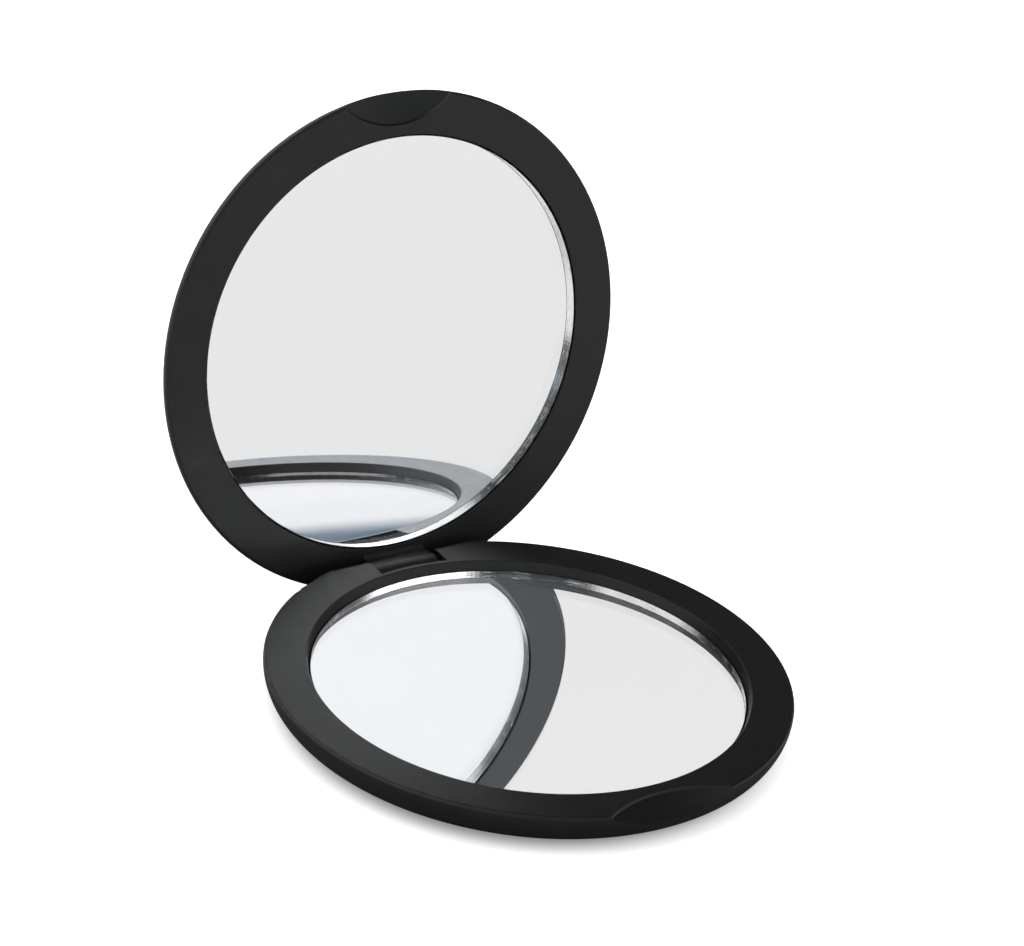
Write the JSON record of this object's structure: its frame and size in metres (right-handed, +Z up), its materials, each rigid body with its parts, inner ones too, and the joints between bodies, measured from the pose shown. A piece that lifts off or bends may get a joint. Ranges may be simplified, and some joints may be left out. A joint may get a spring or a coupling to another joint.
{
  "type": "compact mirror",
  "caption": "Round black pocket mirror that opens like a clam: hinged lid and base, each a rim ring on a shell, hold facing mirrors, with thumb scoops at the front.",
  "frame": {"origin": "middle of the flat underside of the base", "axes": "+Z up, hinge at +Y, thumb scoops at -Y, hinge pin along X"},
  "size_m": [0.07, 0.0832, 0.0689],
  "materials": {
    "soft_touch_black": "matte soft-touch coat",
    "mirror_glass": "silvered float glass with ground edges",
    "white_tape": "double-sided foam tape",
    "nickel_plate": "nickel-plated magnet",
    "pin_steel": "drawn steel pin"
  },
  "bodies": {
    "base": {"base_shell": "soft_touch_black", "base_bezel": "soft_touch_black", "base_mirror": "mirror_glass", "base_mirror_tape": "white_tape", "base_magnet_left": "nickel_plate", "base_magnet_right": "nickel_plate", "hinge_pin": "pin_steel"},
    "lid": {"lid_shell": "soft_touch_black", "lid_bezel": "soft_touch_black", "lid_mirror": "mirror_glass", "lid_mirror_tape": "white_tape", "lid_magnet_left": "nickel_plate", "lid_magnet_right": "nickel_plate"}
  },
  "joints": [
    {"name": "lid_hinge", "type": "hinge", "parent": "base", "child": "lid", "pos_m": [0, 0.03215, 0.00354], "axis": [1, 0, 0], "range_deg": [-4, 99.3]}
  ]
}
